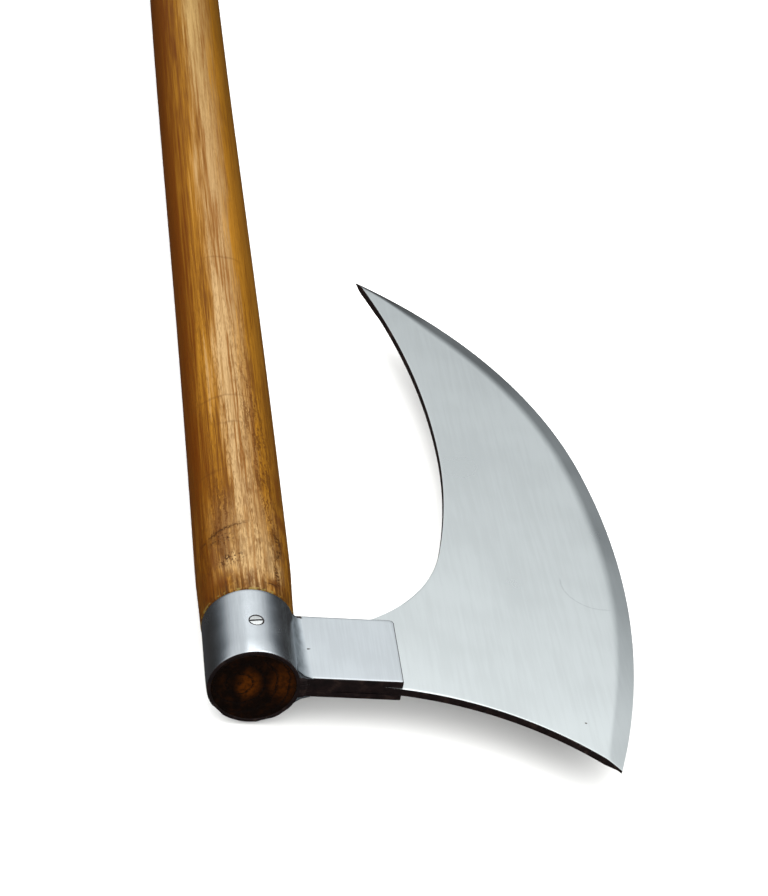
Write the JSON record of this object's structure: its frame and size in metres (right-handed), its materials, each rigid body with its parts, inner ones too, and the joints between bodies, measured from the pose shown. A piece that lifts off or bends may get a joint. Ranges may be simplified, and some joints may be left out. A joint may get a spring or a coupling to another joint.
{
  "type": "long-hafted crescent axe",
  "caption": "Crescent-bladed axe: convex ground edge, blade tang between two cheek plates welded to a steel socket on a long round ash haft.",
  "frame": {"origin": "on the haft's axis, in the plane of the socket's open mouth, where the haft's end grain shows", "axes": "+Y along the haft from the head end to the butt, +X towards the cutting edge, +Z square to the blade; the tool lies flat"},
  "size_m": [0.1973, 0.9428, 0.0424],
  "materials": {
    "stained_ash": "ash, amber stain, open grain",
    "socket_steel": "brushed round the tube",
    "blade_steel": "satin, ground edge",
    "cheek_steel": "satin, linished along the neck",
    "weld_steel": "ground weld metal",
    "screw_steel": "bright turned head"
  },
  "bodies": {
    "root": {"haft": "stained_ash", "socket_tube": "socket_steel", "blade": "blade_steel", "upper_cheek": "cheek_steel", "lower_cheek": "cheek_steel", "upper_weld": "weld_steel", "lower_weld": "weld_steel", "mouth_weld": "weld_steel", "socket_screw": "screw_steel"}
  },
  "joints": []
}
